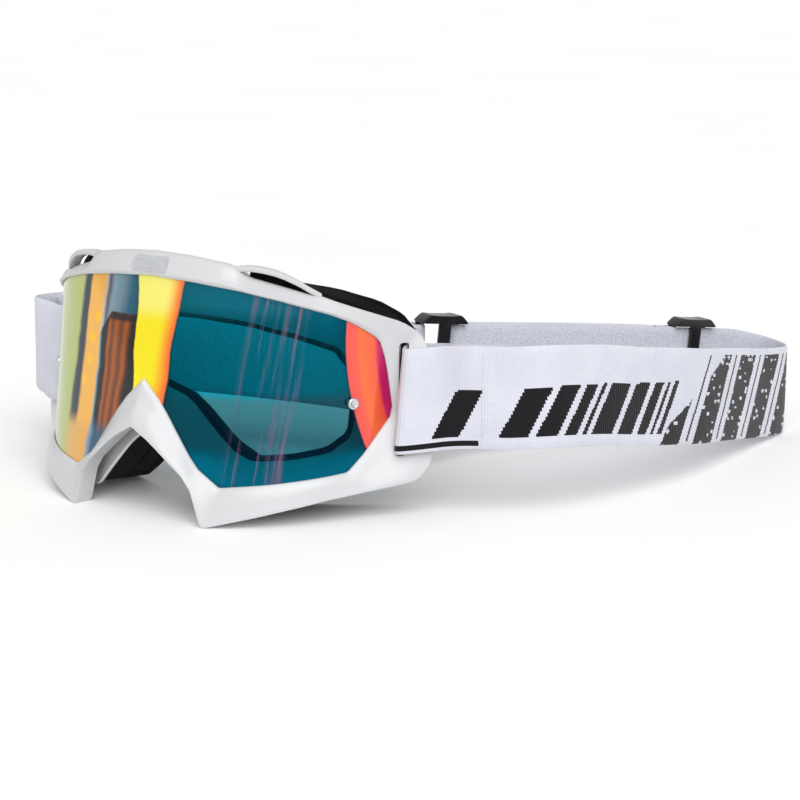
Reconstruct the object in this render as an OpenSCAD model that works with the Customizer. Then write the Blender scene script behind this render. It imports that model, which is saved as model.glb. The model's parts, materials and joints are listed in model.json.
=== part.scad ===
// Motocross goggles: a curved one-piece front with a mirrored lens, a soft face
// side, and an elastic head strap that is joined at the back by two sliders.
// All sizes are in millimetres. The goggles face -Y and +X is the wearer's left.
// The piece stands on its two nose wings, the foam's lower edge and the strap.

/* [Front] */
// Radius of the front, seen from above, across the middle
front_radius = 120; // [116:1:126]
// Half of the width that the middle radius covers
middle_half = 40; // [38:1:42]
// Radius of the front, seen from above, towards the temples
side_radius = 58; // [56:1:61]
// Angle that the front has turned through at the temples
wrap_angle = 66; // [63:1:68]
// Lean of the front: the lower edge stands further forward
lean_angle = 8; // [7:0.5:9]
// Thickness of the lens
lens_thick = 1.2; // [0.8:0.1:1.2]
// How far the lens reaches under the frame's lip
lens_reach = 1.8; // [1:0.1:1.8]
// Thickness of the soft face flange
flange_thick = 2; // [1.6:0.1:2.2]

/* [Face side] */
// Radius of the face, seen from above
face_radius = 108; // [104:1:112]
// Place of the foam's face side at the middle of the forehead
face_start = 32; // [31:0.5:34]
// How far the foam's inner edge shows past the flange
foam_overhang = 2.5; // [1:0.5:3]

/* [Small parts] */
// Radius of the head of a tear-off post
post_radius = 2.3; // [2:0.1:2.5]
// Height of the head of a tear-off post
post_height = 2.2; // [1.8:0.1:2.6]
// Radius of the neck of a tear-off post
neck_radius = 1.3; // [1:0.1:1.6]
// Width of the badge plate
badge_width = 17; // [14:0.5:17]
// Height of the badge plate
badge_height = 5.6; // [5:0.1:6]

/* [Strap] */
// Width of the strap
strap_width = 40; // [39:0.5:41]
// Thickness of the strap
strap_thick = 1.6; // [1.2:0.1:1.6]
// Length of a slider along the strap
slider_length = 22; // [21:0.5:23]
// Height of a slider
slider_height = 49; // [48:0.5:52]

/* [Hidden] */

// The model is drawn about the wearer's middle plane, then moved so that the
// origin is under the middle of the whole object.
ground_middle = [26.1, 126.8, 0];

// ---- The front surface -------------------------------------------------------
// A place on it is given by its distance round the front from the middle plane,
// its height, and how far it stands out of the lens's face.
lens_peak = 53;                       // height of the lens's edge over the nose
middle_turn = asin(middle_half / front_radius);
middle_run = front_radius * middle_turn * PI / 180;
wrap_run = middle_run + side_radius * (wrap_angle - middle_turn) * PI / 180;
middle_depth = front_radius * (1 - cos(middle_turn));

function turn(run) =
    run < middle_run ? run / front_radius * 180 / PI
    : run < wrap_run ? middle_turn + (run - middle_run) / side_radius * 180 / PI
    : wrap_angle;

function arc_plan(angle) =
    angle < middle_turn
    ? front_radius * [sin(angle), 1 - cos(angle)]
    : [middle_half + side_radius * (sin(angle) - sin(middle_turn)),
       middle_depth + side_radius * (cos(middle_turn) - cos(angle))];

function plan(run) =
    arc_plan(turn(run)) + max(0, run - wrap_run) * [cos(wrap_angle), sin(wrap_angle)];

function lean(up) = tan(lean_angle) * (up - lens_peak);

function front(run, up, out = 0) =
    let(side = run < 0 ? -1 : 1, angle = turn(abs(run)), p = plan(abs(run)))
    [side * (p.x + out * sin(angle)), p.y - out * cos(angle) + lean(up), up];

// ---- Helpers for lofts -------------------------------------------------------
function mix(a, b, t) = a + (b - a) * t;
function unit(v) = v / norm(v);

// Cuts each corner of a row of stations, so that corners become short chamfers
function ease(rows, cut) = [
    for (i = [0 : len(rows) - 1])
        each (i == 0 || i == len(rows) - 1)
            ? [rows[i]]
            : [mix(rows[i], rows[i - 1], cut), mix(rows[i], rows[i + 1], cut)]
];

// Adds stations so that the curved surface is followed; run is the first entry
function refine(rows, step) = [
    for (i = [0 : len(rows) - 2])
        let(parts = max(1, ceil(norm([rows[i + 1][0], rows[i + 1][1]]
                                     - [rows[i][0], rows[i][1]]) / step)))
        each [for (k = [0 : parts - 1]) mix(rows[i], rows[i + 1], k / parts)],
    rows[len(rows) - 1]
];

// Side triangles of a loft through rings of the same number of points
function loft_sides(rings, points, closed) = [
    for (i = [0 : rings - (closed ? 1 : 2)], j = [0 : points - 1])
        let(k = (i + 1) % rings, n = (j + 1) % points,
            a = i * points + j, b = i * points + n, c = k * points + n, d = k * points + j)
        each [[a, b, c], [a, c, d]]
];

module loft(sections, closed = false) {
    points = len(sections[0]);
    rings = len(sections);
    ends = closed ? [] : [[for (j = [points - 1 : -1 : 0]) j],
                          [for (j = [0 : points - 1]) (rings - 1) * points + j]];
    polyhedron([for (s = sections) each s], concat(loft_sides(rings, points, closed), ends));
}

// A whole ring from the right half's sections: the left half mirrors them
function mirrored(sections) = concat(
    sections,
    [for (i = [len(sections) - 2 : -1 : 1]) [for (p = sections[i]) [-p.x, p.y, p.z]]]
);

module placed() {
    translate([-ground_middle.x, -ground_middle.y, 0]) children();
}

module on_side(side) {
    if (side < 0) mirror([1, 0, 0]) children();
    else children();
}

// ---- Outline of the frame, right half, from the top middle to the nose --------
// Each station: run and height of the lens opening, run and height of the outer
// edge, how far the outer edge stands out, the back of the wall, and the step
// from the outer edge in to the wall.
frame_stations = [
    [0, 92, 0, 101, -1.5, -11.8, 2.4],
    [18, 91, 16.3, 100.2, -1.5, -11.8, 2.4],
    [35, 88.9, 34.5, 97.6, -2, -11.8, 2.4],
    [40, 88.1, 39.6, 93.2, -3.5, -11.6, 1.4],
    [53, 85.3, 53.3, 90, -3.5, -10.8, 1.2],
    [64, 82.2, 66, 86.7, -2.5, -9.8, 1.2],
    [69, 80.7, 70.5, 86, -1, -9.4, 1.4],
    [73, 79.5, 75.8, 84, 0, -8.8, 1.4],
    [82.7, 75.6, 90.5, 79, 1, -6.8, 1],
    [94.8, 68.5, 105, 74, 1.5, -3, 0.3],
    [98, 61.5, 112.3, 69.2, 4, 0, 0.3],
    [100, 55, 113.4, 62, 9.2, 5, 0.3],
    [103.8, 39.6, 115.4, 40, 13, 9, 0.3],
    [96, 30.5, 114.4, 22, 14.4, 10, 0.3],
    [91.5, 25.2, 110, 14.8, 12, 7, 0.3],
    [88.5, 22.5, 101, 12.8, 8, 2, 0.3],
    [84.9, 19.2, 89, 11.2, 4.6, -4, 0.6],
    [80, 18.8, 76.5, 9.8, 2.8, -8.8, 0.8],
    [64.4, 17.5, 60, 6.8, 3, -8.8, 0.8],
    [42, 15.4, 44, 3, 3.6, -7, 0.6],
    [35.5, 14.6, 32.4, 0, 4.5, -3.6, 0],
    [33.5, 16, 30.2, 0, 4.6, -3.6, 0],
    [25.2, 21.8, 24.7, 16.6, 5.8, -2.2, 0.2],
    [9.3, 44.1, 8.4, 30.6, 7, -2.2, 0.2],
    [0, 53, 0, 35.6, 7.2, -2.2, 0.2]
];
corner_cut = 0.1;
station_step = 7;

function outline(rows) = refine(ease(rows, corner_cut), station_step);

// Place across the frame's face, as a distance from the lens opening
function across(row, distance, out) =
    let(span = norm([row[2] - row[0], row[3] - row[1]]), t = distance / span)
    front(mix(row[0], row[2], t), mix(row[1], row[3], t), out);

lip_back = 0.1;                       // the lip's back clears the lens's face
groove = 3.4;                         // depth of the lens groove, less beside the slots

function frame_section(row) =
    let(span = norm([row[2] - row[0], row[3] - row[1]]),
        in_groove = min(groove, 0.4 * span, 4 - 0.14 * row[4]),
        step = min(row[6], 0.25 * span),
        wall = min(2, 0.2 * span),
        plate = min(-1.5, row[4] - 3),
        under = max(plate, row[4] - 3.5))
    [across(row, 0, lip_back), across(row, 0, 0.9), across(row, min(1.2, 0.15 * span), 1.7),
     across(row, span - 0.9, row[4]), across(row, span, row[4] - 0.8),
     across(row, span, row[4] - 2.2), across(row, span - step, row[4] - 2.9),
     across(row, span - step, row[5]), across(row, span - step - wall, row[5]),
     across(row, span - step - wall, under), across(row, in_groove, plate),
     across(row, in_groove, lip_back)];

// The strap slot, a window through the ear that stands out at each side
slot_run = 107;
slot_out = 2.3;
slot_turn = 21;                       // plan direction of the ear
slot_width = 3.4;
slot_depth = 20;                      // of the cut, through the ear and past it
slot_low = 24;
slot_high = 66.4;
slot_middle = (slot_low + slot_high) / 2;

module strap_slot(side) {
    translate(front(side * slot_run, slot_middle, slot_out))
        rotate([0, 0, side * slot_turn])
            cube([slot_width, slot_depth, slot_high - slot_low], center = true);
}

// The vent scoops, moulded with the frame, one arch on each side of the top.
// Each station: run, height and out of the scoop's ridge
scoop_ridge = [[36, 97.2, -1.9], [40, 97.6, -1.8], [46, 97.2, -1.3], [53, 95.7, -1],
               [61, 92.2, -1], [65, 89.8, -1.2], [70, 87.2, -1.6]];
scoop_tall = 2.3;
scoop_deep = 5;

function scoop_section(row) =
    [front(row[0], row[1] - scoop_tall, row[2] - 0.4), front(row[0], row[1] - 0.6, row[2]),
     front(row[0], row[1], row[2] - 0.8), front(row[0], row[1] - 0.3, row[2] - scoop_deep),
     front(row[0], row[1] - scoop_tall, row[2] - scoop_deep)];

module vent_scoop(side) {
    on_side(side)
        loft([for (row = refine(ease(scoop_ridge, 0.2), 4)) scoop_section(row)]);
}

module frame_shell() {
    color("white") placed()
        difference() {
            union() {
                loft(mirrored([for (row = outline(frame_stations)) frame_section(row)]), true);
                vent_scoop(1);
                vent_scoop(-1);
            }
            strap_slot(1);
            strap_slot(-1);
        }
}

// ---- The soft face frame behind the lens ---------------------------------------
// Each station: the frame's lens opening (run, height) and outer edge (run,
// height), then the eye opening (run, height, out) and the flange's outer edge
// (run, height, out).
face_stations = [
    [0, 92, 0, 101, 0, 76, -15, 0, 98, -12.2],
    [18, 91, 16.3, 100.2, 14, 76, -15, 16, 97.3, -12.2],
    [38, 88.4, 37, 97, 36, 74.5, -15, 37, 92, -12.2],
    [60, 83.4, 62, 88, 60, 70.6, -14, 61, 86.4, -11.2],
    [73, 79.5, 75.8, 84, 73, 67.5, -13, 76, 81, -9.6],
    [82.7, 75.6, 90.5, 79, 84, 64.5, -11, 90, 76, -8],
    [94.8, 68.5, 105, 74, 91, 57.5, -10, 100, 70, -5.5],
    [103.8, 39.6, 125, 40, 95, 42, -10, 102.5, 42, -5.5],
    [91.5, 25.2, 119.5, 14.4, 93, 29, -10, 100, 18, -5.5],
    [84.9, 19.2, 90.5, 11, 84, 24, -11, 90, 13, -7],
    [64.4, 17.5, 60, 6.8, 66, 21.8, -14, 64, 9, -9.4],
    [40, 15.2, 42, 2.5, 44, 21.5, -13, 42, 5, -8],
    [32, 17, 30, 3, 36, 25, -12, 30.5, 5.5, -6.4],
    [25.2, 21.8, 24.7, 16.6, 29, 31, -11.5, 21.5, 14.5, -6],
    [9.3, 44.1, 8.4, 30.6, 14, 44.5, -11, 10, 26.5, -6],
    [0, 53, 0, 35.6, 0, 49, -10, 0, 33, -6]
];
seat_gap = 0.3;                       // between the lens's back and its seat

function eye_edge(row, back = 0) = front(row[4], row[5], row[6] - back);
function flange_edge(row, back = 0) = front(row[7], row[8], row[9] - back);

function face_section(row) =
    let(span = norm([row[2] - row[0], row[3] - row[1]]),
        seat = -lens_thick - lip_back - seat_gap)
    [across(row, 0.3, seat), across(row, min(2.6, 0.34 * span), seat),
     mix(eye_edge(row), flange_edge(row), 0.2), flange_edge(row),
     flange_edge(row, flange_thick), eye_edge(row, flange_thick), eye_edge(row)];

module face_frame() {
    color("gainsboro") placed()
        loft(mirrored([for (row = outline(face_stations)) face_section(row)]), true);
}

// ---- The lens ------------------------------------------------------------------
lens_top = [[-105.2, 41], [-104, 44], [-94.8, 68.5], [-82.7, 75.6], [-73, 79.5], [-60, 83.4],
            [-35, 88.9], [-18, 91], [0, 92], [18, 91], [35, 88.9], [60, 83.4], [73, 79.5],
            [82.7, 75.6], [94.8, 68.5], [104, 44], [105.2, 41]];
lens_low = [[-105.2, 38.5], [-103.8, 38.5], [-91.5, 25.2], [-84.9, 19.2], [-64.4, 17.5],
            [-35.5, 14.6], [-25.2, 21.8], [-9.3, 44.1], [0, 53], [9.3, 44.1], [25.2, 21.8],
            [35.5, 14.6], [64.4, 17.5], [84.9, 19.2], [91.5, 25.2], [103.8, 38.5],
            [105.2, 38.5]];
lens_end = 105.2;
lens_runs = concat([-lens_end, -104.2], [for (r = [-102 : 3 : 102]) r], [104.2, lens_end]);

function lens_section(run) =
    let(reach = abs(run) < lens_end ? lens_reach : 0,
        top = lookup(run, lens_top) + reach, low = lookup(run, lens_low) - reach)
    [front(run, low, 0), front(run, top, 0),
     front(run, top, -lens_thick), front(run, low, -lens_thick)];

post_run = 84.5;
post_up = 45.5;

module at_post(side) {
    translate(front(side * post_run, post_up, 0))
        rotate([90, 0, side * turn(post_run)])
            children();
}

module lens() {
    color("darkcyan", 0.6) placed()
        difference() {
            loft([for (run = lens_runs) lens_section(run)]);
            for (side = [-1, 1])
                at_post(side)
                    cylinder(r = neck_radius + 0.1, h = 12, center = true, $fn = 48);
        }
}

// ---- Tear-off posts and badge ----------------------------------------------------
rivet_thick = 0.8;

module tearoff_post(side) {
    color("silver") placed() at_post(side) {
        translate([0, 0, 0.25]) cylinder(r = post_radius, h = post_height, $fn = 64);
        translate([0, 0, -lens_thick - 0.5]) cylinder(r = neck_radius, h = lens_thick + 1, $fn = 48);
        translate([0, 0, -lens_thick - 0.35 - rivet_thick])
            cylinder(r = post_radius - 0.5, h = rivet_thick, $fn = 48);
    }
}

module tearoff_post_left() { tearoff_post(1); }
module tearoff_post_right() { tearoff_post(-1); }

badge_up = 96.5;
badge_rise = 0.05;                    // between the frame's face and the plate's back
badge_thick = 0.6;

// How far the frame's top band stands out at a height: it leans back to its edge
function band_out(up) = mix(1.7, -1.5, (up - 93) / 8);

// A plate with cut corners that follows the curve of the front
function badge_section(run) =
    let(cut = max(0, abs(run) - badge_width / 2 + 0.8),
        half = badge_height / 2 - cut, low = badge_up - half, high = badge_up + half)
    [for (p = [[low, badge_thick], [high, badge_thick], [high, 0], [low, 0]])
        front(run, p[0], band_out(p[0]) + badge_rise + p[1])];

module badge_plate() {
    color("silver") placed()
        loft([for (k = [-10 : 10]) badge_section(k / 10 * badge_width / 2)]);
}

// ---- Vent foam ----------------------------------------------------------------------
// Foam strips over the vents. Each station: run, top and low height
top_vent = [[39.8, 96.2, 92.4], [46, 95.8, 90.8], [53, 94.3, 89.3], [61, 90.8, 87.6],
            [67, 88, 86.2]];
bottom_vent = [[48, 9.6, 7.5], [62, 12.6, 10.6], [76, 15, 13.1]];

function vent_section(row, front_out, back_out) =
    [front(row[0], row[2], front_out), front(row[0], row[1], front_out),
     front(row[0], row[1], back_out), front(row[0], row[2], back_out)];

module vent_foam(side, rows, front_out, back_out) {
    color("black") placed() on_side(side)
        loft([for (row = refine(rows, 6)) vent_section(row, front_out, back_out)]);
}

module vent_foam_top_left() { vent_foam(1, top_vent, -7.1, -10.8); }
module vent_foam_top_right() { vent_foam(-1, top_vent, -7.1, -10.8); }
module vent_foam_bottom_left() { vent_foam(1, bottom_vent, -1.8, -6); }
module vent_foam_bottom_right() { vent_foam(-1, bottom_vent, -1.8, -6); }

// ---- Face foam ----------------------------------------------------------------------
// Width and height of the foam's outer and inner edge on the face side, one
// station for each of face_stations
foam_outer = [[0, 91.2], [16, 91.2], [36, 90], [57, 86.5], [70, 81.6], [77, 76], [81, 68.5],
              [82.5, 44], [80, 13], [74, 7.4], [61, 2.6], [45, 0], [31, 0.8], [21, 8],
              [10, 19], [0, 27]];
foam_inner = [[0, 76], [13, 76], [34, 74.5], [50, 71.5], [58, 68], [64, 63], [67, 56],
              [69, 42], [67, 29], [62, 22], [51, 17], [39, 15.5], [29, 18.5], [18.5, 25],
              [7, 36.5], [0, 41.5]];

function face_plane(p) =
    [p.x, face_start + face_radius - sqrt(face_radius * face_radius - p.x * p.x), p.y];

// Each row holds a face station and its two edges on the face side
foam_rows = [for (i = [0 : len(face_stations) - 1])
    concat(face_stations[i], foam_outer[i], foam_inner[i])];

function foam_section(row, near, far) =
    let(eye = eye_edge(row, flange_thick), rim = flange_edge(row, flange_thick),
        inner = eye + foam_overhang * unit(eye - rim),
        outer = mix(eye, rim, 0.98),
        face_outer = face_plane([row[10], row[11]]),
        face_inner = face_plane([row[12], row[13]]))
    [mix(inner, face_inner, near), mix(outer, face_outer, near),
     mix(outer, face_outer, far), mix(inner, face_inner, far)];

module foam_layer(near, far) {
    loft(mirrored([for (row = refine(ease(foam_rows, corner_cut), station_step))
        foam_section(row, near, far)]), true);
}

module face_foam_firm() { color("black") placed() foam_layer(0.02, 0.49); }
module face_foam_soft() { color("dimgray") placed() foam_layer(0.51, 0.85); }
module face_fleece() { color("black") placed() foam_layer(0.87, 1); }

// ---- Strap ---------------------------------------------------------------------------
// The stretch of the strap between the two sliders is straight. The strap's own
// place on it is measured from the fixed slider.
run_start = [60, 117];                // plan place of the fixed slider's middle
run_angle = 62.2;                     // plan direction of the stretch
run_fall = 6;                         // how steeply it falls towards the back
run_low = 21;                         // height of its lower edge at the fixed slider
moving_at = 132;                      // distance of the moving slider's middle

function along_run(distance) = run_start + distance * [cos(run_angle), sin(run_angle)];
function run_height(distance) = run_low - distance * tan(run_fall);

// Routes of the strap's pieces: plan place and height of the lower edge
main_route = [
    [112, 56.6, 28], [125, 63, 28], [139, 76, 28], [147.5, 94, 26], [154, 116, 22],
    [159, 138, 18.5], [161.6, 158, 15], [162, 180, 11.5], [162, 200, 8], [162, 223, 4],
    [162.3, 240, 1.6], [161, 252, 0.2], [156, 259.5, 0], [148, 262.5, 1], [140, 261, 2.6],
    [134.5, 256.8, 4.2]
];
short_route = [
    [-99, 75, 26.5], [-80, 83, 26], [-53.5, 91, 24.4], [-17, 99.5, 23.5], [19.7, 105.5, 22.5],
    [38, 104, 21.8], [48, 103, 21.6]
];
// Each loop comes forward through its slot as the outer ply, and its inner ply
// goes back behind the ear's bar to where the two are sewn. The ear leans, so the
// outer ply's last entry is how far its upper edge stands behind its lower edge
left_outer = [[82.4, 56.4, 25, 0], [84.1, 51.5, 25, 2.2], [85.9, 47.2, 25, 5],
              [87, 45, 25.1, 6.6], [89.5, 44.9, 25.4, 7.4], [94, 47.6, 26, 7],
              [99, 50.9, 26.7, 4.8], [104, 53.4, 27.4, 2.5], [112, 56.6, 28, 0]];
left_inner = [[82.4, 56.4, 25], [82, 59, 25], [83.6, 61.8, 25], [87.6, 63.4, 25.2],
              [93, 63.6, 25.8], [97.5, 62.6, 26.4], [101.6, 59.8, 27], [106, 57.9, 27.6],
              [111.1, 58.4, 28], [121, 63.2, 28]];
right_outer = [[-82.4, 56.4, 25, 0], [-84.1, 51.5, 25, 2.2], [-85.9, 47.2, 25, 5],
               [-86.9, 44.8, 25, 6.6], [-89.5, 44.6, 25, 7.4], [-94, 47.1, 25, 7],
               [-99, 50.4, 25.3, 5.2], [-104.5, 53.4, 25.7, 3], [-109, 57.2, 26, 1],
               [-110, 62, 26.2, 0], [-107, 68, 26.4, 0], [-99, 75, 26.5, 0]];
right_inner = [[-82.4, 56.4, 25], [-82, 59, 25], [-83.6, 61.8, 25], [-87.6, 63.6, 25],
               [-94, 64, 25.1], [-99.4, 64.2, 25.4], [-102.6, 66.2, 25.7], [-102.2, 69.6, 26.2],
               [-98.2, 73, 26.4], [-88, 77.6, 26.3]];

// A smooth route through the points of a rougher one
function smooth_point(a, b, c, d, t) =
    0.5 * ((2 * b) + (c - a) * t + (2 * a - 5 * b + 4 * c - d) * t * t
           + (3 * b - a - 3 * c + d) * t * t * t);

function above_table(p) = [for (i = [0 : len(p) - 1]) i == 2 ? max(0, p[i]) : p[i]];

function smooth(route, parts) = [
    for (i = [0 : len(route) - 2], k = [0 : parts - 1])
        let(a = route[max(0, i - 1)], d = route[min(len(route) - 1, i + 2)])
        above_table(smooth_point(a, route[i], route[i + 1], d, k / parts)),
    route[len(route) - 1]
];

// Plan direction of a route at one of its points
function heading(route, i) =
    let(a = route[max(0, i - 1)], b = route[min(len(route) - 1, i + 1)])
    unit([b.x - a.x, b.y - a.y]);

function band_section(route, i) =
    let(h = heading(route, i), half = [h.y, -h.x] * strap_thick / 2,
        p = route[i], back = len(p) > 3 ? p[3] : 0)
    [[p.x + half.x, p.y + half.y, p.z], [p.x + half.x, p.y + half.y + back, p.z + strap_width],
     [p.x - half.x, p.y - half.y + back, p.z + strap_width], [p.x - half.x, p.y - half.y, p.z]];

module band(route) {
    loft([for (i = [0 : len(route) - 1]) band_section(route, i)]);
}

// A point of the straight stretch, with an offset away from the near strap
function run_point(distance, away = 0) =
    let(p = along_run(distance) + away * [-sin(run_angle), cos(run_angle)])
    [p.x, p.y, run_height(distance)];

bar_half = 1.1;                       // half of a slider bar's thickness
bar_away = 4;                         // middle of the end bars, off the strap's middle
end_bar = 9.4;                        // middle of an end bar, from the slider's middle
fold_reach = 4.2;                     // how far the fold's middle line passes an end bar

// The fold round an end bar, as a half circle of the strap
function fold(distance, toward) = [
    for (a = [-90 : 30 : 90])
        run_point(distance + toward * fold_reach * cos(a),
                  bar_away + bar_away * sin(a))
];

fixed_fold = fold(end_bar, -1);

module strap_main() {
    route = concat(smooth(main_route, 3),
                   [run_point(moving_at + 14), run_point(moving_at), run_point(80),
                    run_point(30), run_point(end_bar + 2)],
                   fixed_fold);
    color("white") placed() band(route);
}

module strap_return() {
    color("white") placed()
        band(smooth([run_point(end_bar + 1.2, 2 * bar_away), run_point(34, 8.4),
                     run_point(72, 9.4), run_point(104, 8),
                     run_point(moving_at - 20.5, 5.6)], 4));
}

module strap_short() {
    color("white") placed()
        band(concat(smooth(short_route, 4), [run_point(-end_bar - 4, 0.6)], fold(-end_bar, 1),
                    [run_point(-end_bar - 3, 7.6), run_point(-end_bar - 12, 7)]));
}

// Two plies round the bar of a slot, sewn together at the far end
module strap_loop(outer, inner) {
    band(smooth(outer, 3));
    band(smooth(inner, 3));
}

module strap_loop_left() { color("white") placed() strap_loop(left_outer, left_inner); }
module strap_loop_right() { color("white") placed() strap_loop(right_outer, right_inner); }

// ---- Sliders -------------------------------------------------------------------------
// Placed in the middle of the strap: X along it towards the back of the head,
// Y away from the near strap, Z across the strap.
module at_slider(distance) {
    p = run_point(distance);
    translate([p.x, p.y, p.z + strap_width / 2])
        rotate([0, run_fall, run_angle])
            children();
}

centre_bar = 5.4;                     // width of the bar on the strap's inner side
rail_chamfer = 3.2;
rail_low = strap_width / 2 + 0.7;     // the rails start just past the strap's edges
inner_away = -3.6;                    // the slider's inner and outer faces
outer_away = bar_away + bar_half + 0.1;

module slider_rail() {
    half = slider_length / 2;
    high = slider_height / 2;
    translate([0, outer_away, 0])
        rotate([90, 0, 0])
            linear_extrude(outer_away - inner_away)
                polygon([[-half, rail_low], [half, rail_low], [half, high - rail_chamfer],
                         [half - rail_chamfer, high], [rail_chamfer - half, high],
                         [-half, high - rail_chamfer]]);
}

module slider(distance) {
    color("black") placed() at_slider(distance) {
        slider_rail();
        mirror([0, 0, 1]) slider_rail();
        translate([-centre_bar / 2, inner_away, -rail_low - 0.5])
            cube([centre_bar, 2.3, 2 * rail_low + 1]);
        for (end = [-1, 1])
            translate([end * end_bar, bar_away, 0])
                cylinder(r = bar_half, h = 2 * rail_low + 1, center = true, $fn = 48);
    }
}

module slider_fixed() { slider(0); }
module slider_moving() { slider(moving_at); }

// The end of the return layer: a sewn loop round the moving slider's first bar
hem_gap = 0.35;
hem_tail = 6.5;

module strap_hem() {
    inner = bar_half + hem_gap;
    outer = inner + 1.4;
    color("white") placed() at_slider(moving_at)
        translate([-end_bar, bar_away, -strap_width / 2])
            difference() {
                union() {
                    cylinder(r = outer, h = strap_width, $fn = 64);
                    translate([-hem_tail - 1.5, outer - 2.8, 0])
                        cube([hem_tail + 1.5, 2.8, strap_width]);
                }
                translate([0, 0, -1]) cylinder(r = inner, h = strap_width + 2, $fn = 64);
            }
}

// ---- Stitching ---------------------------------------------------------------------------
thread_radius = 0.3;
stitch_pitch = 3;

// A column of short stitches up the strap's width, along local Z
module stitch_column(height) {
    for (up = [2.5 : stitch_pitch : height - 3])
        translate([0, 0, up])
            rotate([0, 20, 0])
                cylinder(r = thread_radius, h = 2.1, $fn = 16);
}

// Two columns on one face of a seam that runs in the given plan direction
module seam_stitches(p, angle, off) {
    for (column = [0, 3])
        translate([p.x, p.y, p.z])
            rotate([0, 0, angle])
                translate([column, off, 0])
                    stitch_column(strap_width);
}

seam_off = strap_thick / 2 + thread_radius + 0.05;

module stitching_left() {
    color("whitesmoke") placed()
        seam_stitches(smooth(main_route, 3)[1], 30, -seam_off);
}

module stitching_right() {
    color("whitesmoke") placed()
        seam_stitches(smooth(short_route, 4)[1], 157, seam_off);
}

module stitching_fixed() {
    color("whitesmoke") placed() at_slider(0)
        translate([-end_bar - 8.5, 7.35 + seam_off, -strap_width / 2])
            for (column = [0, 2.5])
                translate([-column, 0, 0]) stitch_column(strap_width);
}

module stitching_hem() {
    color("whitesmoke") placed() at_slider(moving_at)
        translate([-end_bar - 4.2, bar_away + bar_half + hem_gap + 1.4 + thread_radius + 0.05,
                   -strap_width / 2])
            for (column = [0, 2.5])
                translate([-column, 0, 0]) stitch_column(strap_width);
}

frame_shell();
face_frame();
lens();
tearoff_post_left();
tearoff_post_right();
badge_plate();
vent_foam_top_left();
vent_foam_top_right();
vent_foam_bottom_left();
vent_foam_bottom_right();
face_foam_firm();
face_foam_soft();
face_fleece();
strap_loop_left();
strap_loop_right();
strap_main();
strap_short();
strap_return();
strap_hem();
slider_fixed();
slider_moving();
stitching_left();
stitching_right();
stitching_fixed();
stitching_hem();
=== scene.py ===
import json
import math

import bmesh
import bpy
from mathutils import Matrix, Vector


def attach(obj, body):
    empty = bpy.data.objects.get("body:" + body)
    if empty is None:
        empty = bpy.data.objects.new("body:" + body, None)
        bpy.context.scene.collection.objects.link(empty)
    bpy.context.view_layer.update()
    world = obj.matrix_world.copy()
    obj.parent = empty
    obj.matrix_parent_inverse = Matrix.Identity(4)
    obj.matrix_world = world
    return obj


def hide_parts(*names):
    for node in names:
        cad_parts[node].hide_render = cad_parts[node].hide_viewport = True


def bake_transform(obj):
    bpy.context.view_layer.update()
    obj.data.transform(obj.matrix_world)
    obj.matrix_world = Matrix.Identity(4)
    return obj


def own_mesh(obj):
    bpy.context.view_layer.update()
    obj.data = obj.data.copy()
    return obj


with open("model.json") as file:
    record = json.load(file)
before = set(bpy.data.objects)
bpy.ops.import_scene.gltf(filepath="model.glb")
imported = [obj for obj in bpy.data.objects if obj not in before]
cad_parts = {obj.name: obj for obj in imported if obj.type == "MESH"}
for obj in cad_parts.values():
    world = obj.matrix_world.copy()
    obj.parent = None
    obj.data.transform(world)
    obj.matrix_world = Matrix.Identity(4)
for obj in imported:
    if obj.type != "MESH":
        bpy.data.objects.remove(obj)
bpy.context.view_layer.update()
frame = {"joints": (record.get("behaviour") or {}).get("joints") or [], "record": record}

# ---- Where the goggles are -----------------------------------------------
# Shapes are worked out in millimetres about the wearer's middle plane, as the CAD
# source does: +X is the wearer's left and the goggles face -Y.
mounts = {m["name"]: m["pos_m"] for m in frame["record"]["mounts"]}
joints = {j["name"]: j for j in frame["joints"]}
MIDDLE = Vector(((mounts["post_left"][0] + mounts["post_right"][0]) / 2,
                 joints["strap_tilt"]["pos_m"][1] - 0.057, 0))


def place(p):
    return MIDDLE + Vector((p[0], p[1], p[2])) * 0.001


FRONT_RADIUS, SIDE_RADIUS = 120, 58
MIDDLE_TURN = math.asin(40 / FRONT_RADIUS)
WRAP = math.radians(66)
MIDDLE_RUN = FRONT_RADIUS * MIDDLE_TURN
WRAP_RUN = MIDDLE_RUN + SIDE_RADIUS * (WRAP - MIDDLE_TURN)


def turn(run):
    if run < MIDDLE_RUN:
        return run / FRONT_RADIUS
    return min(WRAP, MIDDLE_TURN + (run - MIDDLE_RUN) / SIDE_RADIUS)


def front(run, up, out=0.0):
    """A place on the curved front: distance round it, height, distance out of it."""
    side, a = (-1 if run < 0 else 1), turn(abs(run))
    if a < MIDDLE_TURN:
        x, y = FRONT_RADIUS * math.sin(a), FRONT_RADIUS * (1 - math.cos(a))
    else:
        x = 40 + SIDE_RADIUS * (math.sin(a) - math.sin(MIDDLE_TURN))
        y = (FRONT_RADIUS * (1 - math.cos(MIDDLE_TURN))
             + SIDE_RADIUS * (math.cos(MIDDLE_TURN) - math.cos(a)))
    past = max(0, abs(run) - WRAP_RUN)
    x += past * math.cos(WRAP) + out * math.sin(a)
    y += past * math.sin(WRAP) - out * math.cos(a) + math.tan(math.radians(8)) * (up - 53)
    return (side * x, y, up)


def mix(a, b, t):
    return [p + (q - p) * t for p, q in zip(a, b)]


def lookup(x, rows):
    """The value at x along rows of (place, value)."""
    for (x0, y0), (x1, y1) in zip(rows, rows[1:]):
        if x <= x1:
            return y0 + (y1 - y0) * max(0, (x - x0)) / (x1 - x0)
    return rows[-1][1]


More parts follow.
